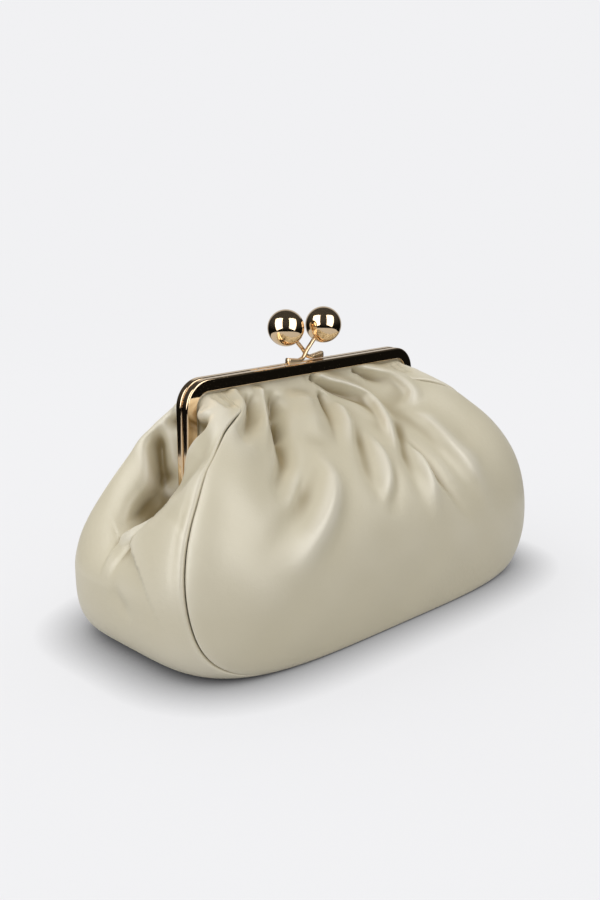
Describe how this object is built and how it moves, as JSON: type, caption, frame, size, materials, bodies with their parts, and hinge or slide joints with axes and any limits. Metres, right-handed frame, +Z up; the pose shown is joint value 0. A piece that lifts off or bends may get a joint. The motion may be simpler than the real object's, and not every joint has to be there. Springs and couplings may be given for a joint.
{
  "type": "ruched frame handbag",
  "caption": "Soft gathered leather clutch bag on a slim gilt kiss-lock frame with a pair of crossed ball clasps, standing on a flat leather base.",
  "frame": {"origin": "on the table, under the middle of the body's outline", "axes": "+X along the bag's length to the right as seen from the front, +Y from the front to the back, +Z up"},
  "size_m": [0.265, 0.1367, 0.1567],
  "materials": {
    "leather": "smooth pale champagne-beige nappa leather with a soft satin sheen",
    "gilt_frame": "polished light-gold plated metal",
    "gilt_clasp": "mirror-polished light-gold plated metal"
  },
  "bodies": {
    "root": {"front_panel": "leather", "back_panel": "leather", "gusset_band": "leather", "frame_front": "gilt_frame", "frame_back": "gilt_frame", "clasp_arm_front": "gilt_clasp", "clasp_arm_back": "gilt_clasp", "clasp_ball_front": "gilt_clasp", "clasp_ball_back": "gilt_clasp", "hinge_rivet_left": "gilt_clasp", "hinge_rivet_right": "gilt_clasp"}
  },
  "joints": []
}
